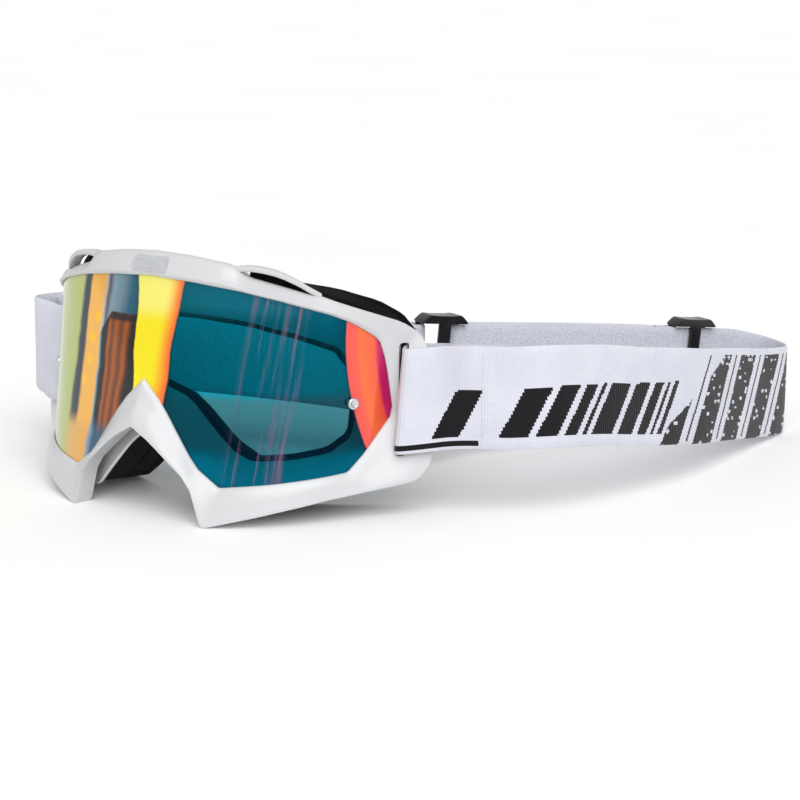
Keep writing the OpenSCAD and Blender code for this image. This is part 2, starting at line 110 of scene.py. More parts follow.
def ease(rows, cut):
    """Each corner of a row of stations becomes a short chamfer."""
    out = [rows[0]]
    for before, row, after in zip(rows, rows[1:], rows[2:]):
        out += [mix(row, before, cut), mix(row, after, cut)]
    return out + [rows[-1]]


def refine(rows, step):
    out = []
    for a, b in zip(rows, rows[1:]):
        parts = max(1, math.ceil(math.dist(a[:2], b[:2]) / step))
        out += [mix(a, b, k / parts) for k in range(parts)]
    return out + [rows[-1]]


def smooth(route, parts):
    """A Catmull-Rom line through the points of a route."""
    out = []
    for i in range(len(route) - 1):
        a, b, c = route[max(0, i - 1)], route[i], route[i + 1]
        d = route[min(len(route) - 1, i + 2)]
        for k in range(parts):
            t = k / parts
            out.append([0.5 * (2 * q + (r - p) * t + (2 * p - 5 * q + 4 * r - s) * t * t
                               + (3 * q - p - 3 * r + s) * t ** 3)
                        for p, q, r, s in zip(a, b, c, d)])
    return out + [list(route[-1])]


def rounded(points, radii):
    """A closed outline of 2-D points with its corners rounded."""
    out = []
    for i, p in enumerate(points):
        a, b, r = points[i - 1], points[(i + 1) % len(points)], radii[i]
        if r <= 0:
            out.append(list(p))
            continue
        ra = min(r, 0.45 * math.dist(p, a)) / max(1e-6, math.dist(p, a))
        rb = min(r, 0.45 * math.dist(p, b)) / max(1e-6, math.dist(p, b))
        s, e = mix(p, a, ra), mix(p, b, rb)
        for t in (0, 0.5, 1):
            out.append([(1 - t) ** 2 * s[k] + 2 * t * (1 - t) * p[k] + t * t * e[k]
                        for k in range(2)])
    return out


# ---- Mesh building -------------------------------------------------------
def finish_mesh(bm, name, sharp=38):
    bmesh.ops.remove_doubles(bm, verts=bm.verts, dist=2e-6)
    bmesh.ops.recalc_face_normals(bm, faces=bm.faces)
    mesh = bpy.data.meshes.new(name)
    bm.to_mesh(mesh)
    bm.free()
    for poly in mesh.polygons:
        poly.use_smooth = True
    if sharp:
        mesh.set_sharp_from_angle(angle=math.radians(sharp))
    obj = bpy.data.objects.new(name, mesh)
    bpy.context.scene.collection.objects.link(obj)
    return obj


def loft(name, sections, closed=False, uvs=None, sharp=38, bm=None, raw=False):
    """A skin through sections of the same number of points; uvs are in mm."""
    own = bm is None
    bm = bm or bmesh.new()
    layer = bm.loops.layers.uv.verify() if uvs else None
    rings = [[bm.verts.new(p if raw else place(p)) for p in s] for s in sections]
    count, n = len(rings), len(sections[0])

    def face(ids):
        try:
            f = bm.faces.new([rings[i][j] for i, j in ids])
        except ValueError:
            return
        if layer:
            for loop, (i, j) in zip(f.loops, ids):
                loop[layer].uv = uvs[i][j]

    for i in range(count if closed else count - 1):
        k = (i + 1) % count
        for j in range(n):
            m = (j + 1) % n
            face([(i, j), (i, m), (k, m), (k, j)])
    if not closed:
        face([(0, j) for j in range(n)])
        face([(count - 1, j) for j in range(n)])
    return finish_mesh(bm, name, sharp) if own else bm


def mirror_rings(sections):
    return sections + [[(-p[0], p[1], p[2]) for p in s] for s in reversed(sections[1:-1])]


def applied(obj):
    """The object with its modifiers made part of its mesh."""
    mesh = bpy.data.meshes.new_from_object(
        obj.evaluated_get(bpy.context.evaluated_depsgraph_get()))
    obj.modifiers.clear()
    obj.data = mesh
    return obj


def boolean(obj, other, operation):
    mod = obj.modifiers.new("cut", "BOOLEAN")
    mod.operation, mod.solver, mod.object = operation, "EXACT", other
    bpy.context.view_layer.update()
    before = len(obj.data.polygons)
    applied(obj)
    if len(obj.data.polygons) < before / 2:
        raise RuntimeError(f"{obj.name}: the {operation} took most of the piece away")
    bpy.data.objects.remove(other)
    for poly in obj.data.polygons:
        poly.use_smooth = True
    obj.data.set_sharp_from_angle(angle=math.radians(34))
    return obj


def look(obj, material, body=None, nodes=()):
    obj.data.materials.clear()
    obj.data.materials.append(material)
    if nodes:
        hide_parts(*nodes)
    if body:
        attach(obj, body)
    return obj


# ---- Materials -----------------------------------------------------------
def linear(*srgb):
    return tuple((c / 255 / 12.92 if c <= 10 else ((c / 255 + 0.055) / 1.055) ** 2.4)
                 for c in srgb) + (1,)


class Nodes:
    def __init__(self, name):
        self.material = bpy.data.materials.new(name)
        self.material.use_nodes = True
        self.tree = self.material.node_tree
        self.tree.nodes.clear()
        self.out = self.new("ShaderNodeOutputMaterial")

    def new(self, kind, **values):
        node = self.tree.nodes.new(kind)
        for key, value in values.items():
            setattr(node, key, value)
        return node

    def join(self, a, b):
        self.tree.links.new(a, b)

    def put(self, socket, value):
        if isinstance(value, (int, float, tuple)):
            socket.default_value = value
        else:
            self.join(value, socket)

    def math(self, op, a, b=0.0, c=0.0):
        node = self.new("ShaderNodeMath", operation=op)
        for socket, value in zip(node.inputs, (a, b, c)):
            self.put(socket, value)
        return node.outputs[0]

    def step(self, value, low, high, start=0.0, end=1.0):
        node = self.new("ShaderNodeMapRange", interpolation_type="SMOOTHSTEP")
        for socket, v in zip(node.inputs, (value, low, high, start, end)):
            self.put(socket, v)
        return node.outputs[0]

    def step_linear(self, value, low, high):
        node = self.new("ShaderNodeMapRange")
        for socket, v in zip(node.inputs, (value, low, high, 0.0, 1.0)):
            self.put(socket, v)
        return node.outputs[0]

    def blend(self, fac, a, b):
        node = self.new("ShaderNodeMix", data_type="RGBA")
        self.put(node.inputs[0], fac)
        self.put(node.inputs[6], a)
        self.put(node.inputs[7], b)
        return node.outputs[2]

    def ramp(self, fac, stops, mode="LINEAR"):
        node = self.new("ShaderNodeValToRGB")
        node.color_ramp.interpolation = mode
        self.put(node.inputs[0], fac)
        elements = node.color_ramp.elements
        while len(elements) > 1:
            elements.remove(elements[-1])
        elements[0].position, elements[0].color = stops[0]
        for place_at, color in stops[1:]:
            elements.new(place_at).color = color
        return node.outputs[0]

    def noise(self, scale, detail=3.0, rough=0.5, vector=None):
        node = self.new("ShaderNodeTexNoise")
        node.inputs["Scale"].default_value = scale
        node.inputs["Detail"].default_value = detail
        node.inputs["Roughness"].default_value = rough
        self.join(vector or self.place(), node.inputs["Vector"])
        return node.outputs[0]

    def cells(self, scale, vector=None):
        node = self.new("ShaderNodeTexVoronoi", feature="F1")
        node.inputs["Scale"].default_value = scale
        self.join(vector or self.place(), node.inputs["Vector"])
        return node.outputs["Distance"]

    def place(self):
        return self.new("ShaderNodeTexCoord").outputs["Object"]

    def uv(self):
        node = self.new("ShaderNodeSeparateXYZ")
        self.join(self.new("ShaderNodeUVMap").outputs[0], node.inputs[0])
        return node.outputs[0], node.outputs[1]

    def bump(self, height, strength, distance):
        node = self.new("ShaderNodeBump")
        node.inputs["Strength"].default_value = strength
        node.inputs["Distance"].default_value = distance
        self.join(height, node.inputs["Height"])
        return node.outputs[0]

    def surface(self, color, rough, metal=0.0, normal=None, coat=0.0, sheen=0.0,
                specular=0.5, plug=True):
        node = self.new("ShaderNodeBsdfPrincipled")
        self.put(node.inputs["Base Color"], color)
        self.put(node.inputs["Roughness"], rough)
        self.put(node.inputs["Metallic"], metal)
        node.inputs["Coat Weight"].default_value = coat
        node.inputs["Coat Roughness"].default_value = 0.08
        node.inputs["Sheen Weight"].default_value = sheen
        node.inputs["Specular IOR Level"].default_value = specular
        if normal:
            self.join(normal, node.inputs["Normal"])
        if plug:
            self.join(node.outputs[0], self.out.inputs[0])
        return node.outputs[0]


def plastic(name, color, rough, grain=0.02, coat=0.0, mottled=0.015):
    n = Nodes(name)
    tint = n.step(n.noise(25, 2), 0.3, 0.7, 1 - mottled * 8, 1)
    shade = n.blend(tint, tuple(c * 0.94 for c in color[:3]) + (1,), color)
    wear = n.step(n.noise(900, 3), 0.3, 0.7, rough * 0.96, rough * 1.05)
    n.surface(shade, wear, normal=n.bump(n.noise(2600, 2), grain, 0.0002), coat=coat)
    return n.material


def foam(name, color, light, scale):
    n = Nodes(name)
    pores = n.cells(scale)
    shade = n.blend(n.step(pores, 0.15, 0.6), color, light)
    shade = n.blend(n.step(n.noise(90, 4), 0.35, 0.7, 0.0, 0.5), shade, color)
    n.surface(shade, 0.95, normal=n.bump(pores, 0.7, 0.0006), sheen=0.03, specular=0.12)
    return n.material


def metal(name, color, rough):
    n = Nodes(name)
    u = n.noise(700, 2)
    n.surface(color, n.step(u, 0.3, 0.7, rough * 0.8, rough * 1.3), metal=0.9,
              normal=n.bump(u, 0.12, 0.0002))
    return n.material


def lens_coating_and_painted_reflections():
    """A thin iridescent mirror: bands of colour that follow the lens's curve. They are partly the
    coating's own colour and partly painted reflections of the studio, and parts of the view
    through the lens are painted in too.
    """
    n = Nodes("lens_mirror")
    u, v = n.uv()
    wave = n.math("MULTIPLY", n.math("SUBTRACT", n.noise(26, 2, 0.4), 0.5), 9.0)
    ripple = n.math("MULTIPLY", n.math("SUBTRACT", n.noise(120, 2, 0.5), 0.5), 1.6)
    run = n.math("ADD", u, n.math("ADD", wave, ripple))

    lean = n.math("ADD", run, n.math("MULTIPLY", n.math("SUBTRACT", 73.0, v), 0.13))
    far_left = -100

    def bands(stops):
        """Colours at distances from the middle plane to the wearer's right, in mm."""
        return n.ramp(n.step_linear(lean, far_left, 0),
                      [(1 - at / far_left, linear(*c)) for at, c in stops])

    olive, navy, gold_tan = (176, 188, 104), (14, 40, 58), (240, 178, 74)
    grey_blue, blue = (128, 158, 176), (34, 84, 112)
    brown, dark, rust = (96, 48, 14), (16, 12, 14), (168, 84, 12)
    teal, deep = (0, 142, 162), (0, 92, 136)
    side = [(-100, (130, 160, 120)), (-70, (170, 186, 110)), (-41, olive), (-39, navy),
            (-35.8, navy), (-34.4, gold_tan), (-25.9, gold_tan)]
    top = bands(side + [(-25.1, (176, 190, 196)), (-23.2, (96, 66, 50)), (-21, grey_blue),
                        (-16.5, (112, 140, 152)), (-12, (30, 96, 120)), (-8, (24, 74, 92))])
    middle = bands(side + [(-25.2, grey_blue), (-24.3, blue), (-23.8, dark), (-21.4, dark),
                           (-20.4, rust), (-18.2, brown), (-16.2, rust), (-13.4, brown),
                           (-11.2, rust), (-8.9, (60, 26, 8)), (-7.4, dark)])
    low = bands([(-100, (120, 150, 110)), (-70, (160, 172, 100)), (-44, olive),
                 (-37, (218, 176, 92)), (-27, (232, 166, 72)), (-25.3, grey_blue),
                 (-22.5, blue), (-8, (16, 80, 110))])
    # a dark line painted on the lens where the eye opening's black foam edge is seen through it;
    # it has a rounded corner
    corner = n.math("MULTIPLY", n.math("MAXIMUM", n.math("SUBTRACT", -20.0, lean), 0.0), 1.6)
    brow = n.math("ADD", v, corner)
    left = n.blend(n.step(brow, 75.6, 76.6), middle, top)
    rim = n.math("MULTIPLY", n.step(brow, 72.6, 74.0), n.step(brow, 75.8, 76.8, 1.0, 0.0))
    rim = n.math("MULTIPLY", rim, n.step(lean, -25.2, -24.2))
    left = n.blend(n.math("MULTIPLY", rim, 0.9), left, linear(12, 12, 16))
    left = n.blend(n.step(v, 27, 35), low, left)
    # the yellow band over the nose, a softbox's reflection painted into the coating: pale above
    # with a painted highlight, saturated below
    edge = n.math("ADD", n.math("MULTIPLY", n.math("SUBTRACT", v, 46.0), 0.146), 9.2)
    gold = n.blend(n.step(v, 74, 82), linear(255, 236, 6), linear(255, 246, 120))
    warm = n.blend(n.step(n.math("SUBTRACT", edge, run), -1.0, 8.5), linear(255, 104, 44), gold)
    on_gold = n.step(run, -7.2, -6.4)
    inner = n.blend(on_gold, left, warm)
    # teal to the right, painted lighter at the top where the lit face frame shows through, deeper
    # low by the nose
    cool = n.blend(n.step(v, 30, 86), linear(*deep), linear(*teal))
    cool = n.blend(n.step(n.noise(34, 3), 0.42, 0.68, 0.0, 0.55), cool, linear(4, 120, 156))
    # faint pink streaks that wander down the middle of the right half
    thread_at = n.new("ShaderNodeCombineXYZ")
    slant = n.math("SUBTRACT", n.math("ADD", u, n.math("MULTIPLY", wave, 0.25)),
                   n.math("MULTIPLY", n.math("SUBTRACT", v, 53.0), 0.11))
    n.join(n.math("MULTIPLY", slant, 0.3), thread_at.inputs[0])
    n.join(n.math("MULTIPLY", v, 0.012), thread_at.inputs[1])
    streak = n.step(n.noise(1.0, 3, 0.65, thread_at.outputs[0]), 0.46, 0.68)
    near = n.math("MULTIPLY", n.step(slant, 38, 44), n.step(slant, 60, 67, 1.0, 0.0))
    streak = n.math("MULTIPLY", n.math("MULTIPLY", streak, near), 0.6)
    cool = n.blend(streak, cool, linear(226, 98, 130))
    on_cool = n.step(n.math("SUBTRACT", run, edge), -0.4, 0.7)
    right = n.blend(on_cool, inner, cool)
    # the temple: coral, orange, then magenta, partly the coating's colour and partly painted
    # reflection
    fall = n.math("SUBTRACT", 75.5, v)
    curve = n.math("ADD", n.math("MULTIPLY", n.math("MULTIPLY", fall, fall), 0.0054), 80.3)
    past = n.math("SUBTRACT", u, curve)
    temple = n.ramp(n.step_linear(past, 0, 20),
                    [(0.0, linear(246, 84, 78)), (0.24, linear(252, 96, 74)),
                     (0.30, linear(255, 116, 52)), (0.62, linear(255, 96, 62)),
                     (0.7, linear(206, 20, 96)), (1.0, linear(180, 10, 110))])
    on_temple = n.step(past, -0.5, 0.3)
    color = n.blend(on_temple, right, temple)
    # soft dots in a column, where the coating is thin
    for x, y in ((-28.1, 73.3), (-30.7, 64.8), (-31.9, 56.4), (-34.6, 48.2)):
        dx, dy = n.math("SUBTRACT", u, x), n.math("SUBTRACT", v, y)
        far = n.math("SQRT", n.math("ADD", n.math("MULTIPLY", dx, dx),
                                    n.math("MULTIPLY", dy, dy)))
        color = n.blend(n.step(far, 1.5, 2.4, 1.0, 0.0), color, linear(255, 190, 20))
    mirror = n.surface(color, 0.07, metal=0.35, coat=0.5, plug=False)
    clear = n.new("ShaderNodeBsdfTransparent")
    # painted light: a greyer, less tinted see-through band low on the lens, standing for the
    # bright floor seen through
    painted_floor_light = n.math("MULTIPLY", n.step(v, 24, 30), n.step(v, 46, 52, 1.0, 0.0))
    tint = n.blend(painted_floor_light, (0.04, 0.65, 0.73, 1), (0.25, 0.52, 0.56, 1))
    n.put(clear.inputs[0], tint)
    # how much of the view the mirror hides: all of it in the bright bands
    weight = n.math("ADD", n.math("MULTIPLY", on_cool, -0.89), 0.94)
    weight = n.math("ADD", weight, n.math("MULTIPLY", streak, 0.5))
    # painted light: more of the bright teal mirror over the top of the teal, for the lit face
    # frame seen through
    weight = n.math("ADD", weight, n.math("MULTIPLY", n.step(v, 76, 84),
                                          n.math("MULTIPLY", on_cool, 0.25)))
    keep = n.math("SUBTRACT", 1.0, on_temple)
    weight = n.math("ADD", n.math("MULTIPLY", weight, keep), n.math("MULTIPLY", on_temple, 0.86))
    both = n.new("ShaderNodeMixShader")
    n.join(weight, both.inputs[0])
    n.join(clear.outputs[0], both.inputs[1])
    n.join(mirror, both.inputs[2])
    n.join(both.outputs[0], n.out.inputs[0])
    return n.material


def webbing(name, printed):
    """Elastic webbing. The texture's own place is u along it and v up it, in mm, and
    its inner side is at v + 100."""
    n = Nodes(name)
    u, v = n.uv()
    inner = n.math("GREATER_THAN", v, 80.0)
    rib = n.math("SINE", n.math("MULTIPLY", u, 2 * math.pi / 1.1))
    weft = n.math("SINE", n.math("MULTIPLY", v, 2 * math.pi / 0.9))
    knit = n.math("ADD", rib, n.math("MULTIPLY", weft, 0.45))
    fuzz = n.noise(1400, 3)
    white = n.blend(n.step(n.noise(70, 3), 0.3, 0.7), linear(198, 199, 210),
                    linear(205, 206, 215))
    # painted shade: the white darkens in the knit's grooves
    white = n.blend(n.step(knit, -1.2, 1.2, 0.2, 0.0), white, linear(172, 175, 191))
    grey = n.blend(n.step(fuzz, 0.35, 0.65), linear(176, 178, 189), linear(200, 202, 211))
    color = n.blend(inner, white, grey)
    height = n.math("ADD", knit, n.math("MULTIPLY", fuzz, 1.5))
    if printed:
        # woven pattern, in steps of the knit
        su = n.math("SNAP", n.math("ADD", u, n.math("MULTIPLY", fuzz, 0.7)), 0.7)
        sv = n.math("SNAP", v, 0.7)
        along = n.math("SUBTRACT", su, n.math("MULTIPLY", sv, 0.52))

        def between(value, a, b):
            return n.math("MULTIPLY", n.math("GREATER_THAN", value, a),
                          n.math("LESS_THAN", value, b))

        def both(a, b):
            return n.math("MULTIPLY", a, b)

        def either(a, b):
            return n.math("MAXIMUM", a, b)

        # slanted bars in three groups, growing taller to the right
        reach = n.math("ADD", n.math("MULTIPLY", su, 0.035), 21.5)
        tall = both(n.math("GREATER_THAN", sv, 4.2), n.math("LESS_THAN", sv, reach))
        ink = None
        for a, b in ((13, 24), (39, 50), (53, 61.5), (64.5, 70), (72.5, 74.5), (77, 88),
                     (91, 99.5), (102.5, 108), (110.5, 112.5), (115, 118)):
            bar = between(along, a, b)
            ink = bar if ink is None else either(ink, bar)
        ink = both(both(ink, tall), n.math("LESS_THAN", along, 118.0))
        line = both(between(sv, 0.9, 3.2), between(su, -4.0, 34.0))
        # a dark field with pale slashes and flecks fills the last stretch
        spot = n.new("ShaderNodeCombineXYZ")
        n.join(n.math("MULTIPLY", su, 0.19), spot.inputs[0])
        n.join(n.math("MULTIPLY", sv, 0.34), spot.inputs[1])
        dark = n.math("GREATER_THAN", n.cells(1, spot.outputs[0]), 0.27)
        beat = n.math("FLOORED_MODULO", n.math("ADD", along, 3.0), 27.0)
        slope = n.math("MULTIPLY", n.math("SUBTRACT", su, 112.0), 0.62)
        field = both(n.math("GREATER_THAN", along, 120.0),
                     n.math("LESS_THAN", sv, n.math("MINIMUM", 37.0, slope)))
        field = both(field, n.math("GREATER_THAN", beat, 10.5))
        thin = both(between(beat, 4.6, 6.0), both(n.math("GREATER_THAN", along, 120.0),
                                                  between(sv, 1.0, 37.0)))
        ink = either(either(ink, line), either(both(field, dark), thin))
        ink = both(ink, n.math("SUBTRACT", 1.0, inner))
        ink = both(ink, n.math("LESS_THAN", su, 250.0))
        color = n.blend(ink, color, linear(9, 8, 14))
        height = n.math("SUBTRACT", height, n.math("MULTIPLY", ink, 0.8))
    n.surface(color, 0.9, normal=n.bump(height, 0.28, 0.0002), sheen=0.2, specular=0.25)
    return n.material


def thread_material():
    n = Nodes("thread_white")
    u, v = n.uv()
    ply = n.math("SINE", n.math("MULTIPLY", n.math("ADD", u, v), 9.0))
    n.surface(n.blend(n.step(ply, -1, 1), linear(214, 214, 222), linear(244, 244, 248)), 0.7,
              normal=n.bump(ply, 0.4, 0.0001), sheen=0.2)
    return n.material


WHITE = plastic("frame_white", linear(193, 194, 196), 0.3, coat=0.15)
GREY = plastic("face_frame_grey", linear(206, 208, 206), 0.42, 0.05)
BLACK = plastic("slider_black", linear(5, 5, 6), 0.22, 0.01, coat=0.15)
LENS = lens_coating_and_painted_reflections()
SILVER = metal("badge_metal", linear(226, 228, 231), 0.36)
POST = metal("post_metal", linear(206, 210, 212), 0.16)
VENT = foam("vent_foam_black", linear(2, 2, 3), linear(20, 20, 22), 900)
FIRM = foam("foam_firm_black", linear(2, 2, 3), linear(15, 15, 17), 1500)
SOFT = foam("foam_soft_grey", linear(8, 8, 9), linear(26, 26, 29), 1700)
FLEECE = foam("fleece_black", linear(2, 2, 4), linear(14, 14, 17), 2400)
STRAP = webbing("strap_printed", True)
PLAIN = webbing("strap_plain", False)
THREAD = thread_material()

# ---- The frame -----------------------------------------------------------
# Stations round the right half: run and height of the lens opening, run and height of
# the outer edge, how far the outer edge stands out, the wall's back, the step in to it
FRAME_ROWS = [
    [0, 92, 0, 101, -1.5, -11.8, 2.4], [18, 91, 16.3, 100.2, -1.5, -11.8, 2.4],
    [35, 88.9, 34.5, 97.6, -2, -11.8, 2.4], [40, 88.1, 39.6, 93.2, -3.5, -11.6, 1.4],
    [53, 85.3, 53.3, 90, -3.5, -10.8, 1.2], [64, 82.2, 66, 86.7, -2.5, -9.8, 1.2],
    [69, 80.7, 70.5, 86, -1, -9.4, 1.4], [73, 79.5, 75.8, 84, 0, -8.8, 1.4],
    [82.7, 75.6, 90.5, 79, 1, -6.8, 1], [94.8, 68.5, 105, 74, 1.5, -3, 0.3],
    [98, 61.5, 112.3, 69.2, 4, 0, 0.3], [100, 55, 113.4, 62, 9.2, 5, 0.3],
    [103.8, 39.6, 115.4, 40, 13, 9, 0.3], [96, 30.5, 114.4, 22, 14.4, 10, 0.3],
    [91.5, 25.2, 110, 14.8, 12, 7, 0.3], [88.5, 22.5, 101, 12.8, 8, 2, 0.3],
    [84.9, 19.2, 89, 11.2, 4.6, -4, 0.6], [80, 18.8, 76.5, 9.8, 2.8, -8.8, 0.8],
    [64.4, 17.5, 60, 6.8, 3, -8.8, 0.8], [42, 15.4, 44, 3, 3.6, -7, 0.6],
    [35.5, 14.6, 32.4, 0, 4.5, -3.6, 0], [33.5, 16, 30.2, 0, 4.6, -3.6, 0],
    [25.2, 21.8, 24.7, 16.6, 5.8, -2.2, 0.2], [9.3, 44.1, 8.4, 30.6, 7, -2.2, 0.2],
    [0, 53, 0, 35.6, 7.2, -2.2, 0.2]]


def across(row, distance, out):
    t = distance / math.dist(row[0:2], row[2:4])
    return front(row[0] + (row[2] - row[0]) * t, row[1] + (row[3] - row[1]) * t, out)


def frame_section(row):
    span = math.dist(row[0:2], row[2:4])
    groove = min(3.4, 0.4 * span, 4 - 0.14 * row[4])
    step, wall = min(row[6], 0.25 * span), min(2, 0.2 * span)
    plate, under = min(-1.5, row[4] - 3), max(min(-1.5, row[4] - 3), row[4] - 3.5)
    # the ears keep a rim beside the lens before they sweep out
    rim = max(0, min(1, (row[4] - 1.5) / 6)) * (1 if row[1] > 20 else 0)
    nose = 1 if row[1] > 16 and row[0] < 34 else 0
    lip = min(1.9, 0.2 * span)
    outline = [(0, 0.1), (0, 0.8), (lip, 1.9),
               (0.36 * span, 2.1 + (row[4] - 2.1) * (0.30 - 0.10 * rim)),
               (0.72 * span, 1.9 + (row[4] - 1.9) * (0.68 + 0.03 * rim) + 0.5 * nose),
               (span, row[4]), (span, row[4] - 2.4), (span - step, row[4] - 2.9),
               (span - step, row[5]), (span - step - wall, row[5]),
               (span - step - wall, under), (groove, plate), (groove, 0.1)]
    radii = [0.1, 0.5, 0.8, 1.5, 2.5, 1.1, 0.5, 0.3, 0.5, 0.5, 0.3, 0.3, 0.1]
    return [across(row, d, o) for d, o in rounded(outline, radii)]


SLOT_RUN, SLOT_UP, SLOT_OUT = 107, 45.2, 2.3    # the middle of a strap slot
SLOT_TURN = math.radians(21)                    # plan direction of the ear
SLOT_HALF_WIDTH, SLOT_HALF_HEIGHT, SLOT_HALF_DEPTH, SLOT_CORNER = 1.75, 21.2, 10.5, 1.2


def slot_cutter(side):
    """A rounded upright prism that cuts the strap slot through an ear."""
    x, z = SLOT_HALF_WIDTH, SLOT_HALF_HEIGHT
    outline = rounded([(-x, -z), (x, -z), (x, z), (-x, z)], [SLOT_CORNER] * 4)
    middle = front(side * SLOT_RUN, SLOT_UP, SLOT_OUT)
    a = SLOT_TURN * side
    rings = []
    for y in (-SLOT_HALF_DEPTH, SLOT_HALF_DEPTH):
        rings.append([(middle[0] + x * math.cos(a) - y * math.sin(a),
                       middle[1] + x * math.sin(a) + y * math.cos(a), middle[2] + z)
                      for x, z in outline])
    return loft("cutter", rings, sharp=0)


# Run, height and distance out of the ridge over a top vent
SCOOP = [[36, 97.2, -1.9], [40, 97.6, -1.8], [46, 97.2, -1.3], [53, 95.7, -1],
         [61, 92.2, -1], [65, 89.8, -1.2], [70, 87.2, -1.6]]


def scoop(side):
    rows = refine(ease(SCOOP, 0.25), 1.2)
    sections = []
    for run, up, out in rows:
        outline = rounded([(-2.3, -0.5), (-0.5, 0), (0, -0.9), (-0.3, -5), (-2.3, -5)],
                          [0.6, 0.7, 0.7, 0.5, 0.5])
        sections.append([front(side * run, up + d, out + o) for d, o in outline])
    return loft("scoop", sections, sharp=0)


rows = refine(ease(FRAME_ROWS, 0.16), 2.2)
shell = loft("frame", mirror_rings([frame_section(r) for r in rows]), closed=True, sharp=34)
for side in (1, -1):
    boolean(shell, scoop(side), "UNION")
    boolean(shell, slot_cutter(side), "DIFFERENCE")
look(shell, WHITE, "root", ["frame_shell"])

# ---- The soft face frame -------------------------------------------------
# The lens opening's and outer edge's run and height, then run, height and distance out
# of the eye opening's edge and of the foam flange's rim
FACE_ROWS = [
    [0, 92, 0, 101, 0, 76, -15, 0, 98, -12.2],
    [18, 91, 16.3, 100.2, 14, 76, -15, 16, 97.3, -12.2],
    [38, 88.4, 37, 97, 36, 74.5, -15, 37, 92, -12.2],
    [60, 83.4, 62, 88, 60, 70.6, -14, 61, 86.4, -11.2],
    [73, 79.5, 75.8, 84, 73, 67.5, -13, 76, 81, -9.6],
    [82.7, 75.6, 90.5, 79, 84, 64.5, -11, 90, 76, -8],
    [94.8, 68.5, 105, 74, 91, 57.5, -10, 100, 70, -5.5],
    [103.8, 39.6, 125, 40, 95, 42, -10, 102.5, 42, -5.5],
    [91.5, 25.2, 119.5, 14.4, 93, 29, -10, 100, 18, -5.5],
    [84.9, 19.2, 90.5, 11, 84, 24, -11, 90, 13, -7],
    [64.4, 17.5, 60, 6.8, 66, 21.8, -14, 64, 9, -9.4],
    [40, 15.2, 42, 2.5, 44, 21.5, -13, 42, 5, -8],
    [32, 17, 30, 3, 36, 25, -12, 30.5, 5.5, -6.4],
    [25.2, 21.8, 24.7, 16.6, 29, 31, -11.5, 21.5, 14.5, -6],
    [9.3, 44.1, 8.4, 30.6, 14, 44.5, -11, 10, 26.5, -6], [0, 53, 0, 35.6, 0, 49, -10, 0, 33, -6]]
# The foam's face side: x and height of its outer and its inner edge, station by station
FOAM_OUTER = [[0, 91.2], [16, 91.2], [36, 90], [57, 86.5], [70, 81.6], [77, 76], [81, 68.5],
              [82.5, 44], [80, 13], [74, 7.4], [61, 2.6], [45, 0], [31, 0.8], [21, 8],
              [10, 19], [0, 27]]
FOAM_INNER = [[0, 76], [13, 76], [34, 74.5], [50, 71.5], [58, 68], [64, 63], [67, 56],
              [69, 42], [67, 29], [62, 22], [51, 17], [39, 15.5], [29, 18.5], [18.5, 25],
              [7, 36.5], [0, 41.5]]


def eye_edge(row, back=0.0):
    return front(row[4], row[5], row[6] - back)


def flange_edge(row, back=0.0):
    return front(row[7], row[8], row[9] - back)


def face_section(row):
    span = math.dist(row[0:2], row[2:4])
    seat = -1.6
    points = [across(row, 0.3, seat), across(row, min(2.6, 0.34 * span), seat),
              mix(eye_edge(row), flange_edge(row), 0.2), flange_edge(row),
              flange_edge(row, 2), eye_edge(row, 2), eye_edge(row)]
    out = []
    for i, p in enumerate(points):
        a, b = points[i - 1], points[(i + 1) % len(points)]
        ra = min(0.35, 0.6 / max(0.1, math.dist(p, a)))
        rb = min(0.35, 0.6 / max(0.1, math.dist(p, b)))
        out += [mix(p, a, ra), mix(p, b, rb)]
    return out


rows = refine(ease(FACE_ROWS, 0.14), 3)
look(loft("face_frame", mirror_rings([face_section(r) for r in rows]), closed=True),
     GREY, "root", ["face_frame"])

# ---- Foam layers ---------------------------------------------------------
FACE_START, FACE_RADIUS = 32, 108               # the face side's curve in plan
EYE_OVERHANG = 3                                # foam past the eye opening's edge


def face_plane(x, z):
    return (x, FACE_START + FACE_RADIUS - math.sqrt(FACE_RADIUS * FACE_RADIUS - x * x), z)


def foam_section(row, near, far, tight):
    """One ring of a layer between two shares of the foam's depth, narrowed by tight."""
    eye, rim = eye_edge(row, 2), flange_edge(row, 2)
    away = Vector(eye) - Vector(rim)
    inner = list(Vector(eye) + EYE_OVERHANG * away.normalized())
    outer = mix(eye, rim, 0.98)
    face_outer, face_inner = face_plane(row[10], row[11]), face_plane(row[12], row[13])
    wide = 9
    deep = 5 if far - near > 0.2 else 3
    inner, outer = mix(inner, outer, tight), mix(outer, inner, tight)
    face_inner, face_outer = mix(face_inner, face_outer, tight), mix(face_outer, face_inner, tight)
    low, high = [[mix(mix(inner, outer, k / wide), mix(face_inner, face_outer, k / wide), share)
                  for k in range(wide + 1)] for share in (near, far)]
    ring = list(low)
    ring += [mix(low[-1], high[-1], k / deep) for k in range(1, deep)]
    ring += list(reversed(high))
    ring += [mix(high[0], low[0], k / deep) for k in range(1, deep)]
    return ring, wide + 1, deep


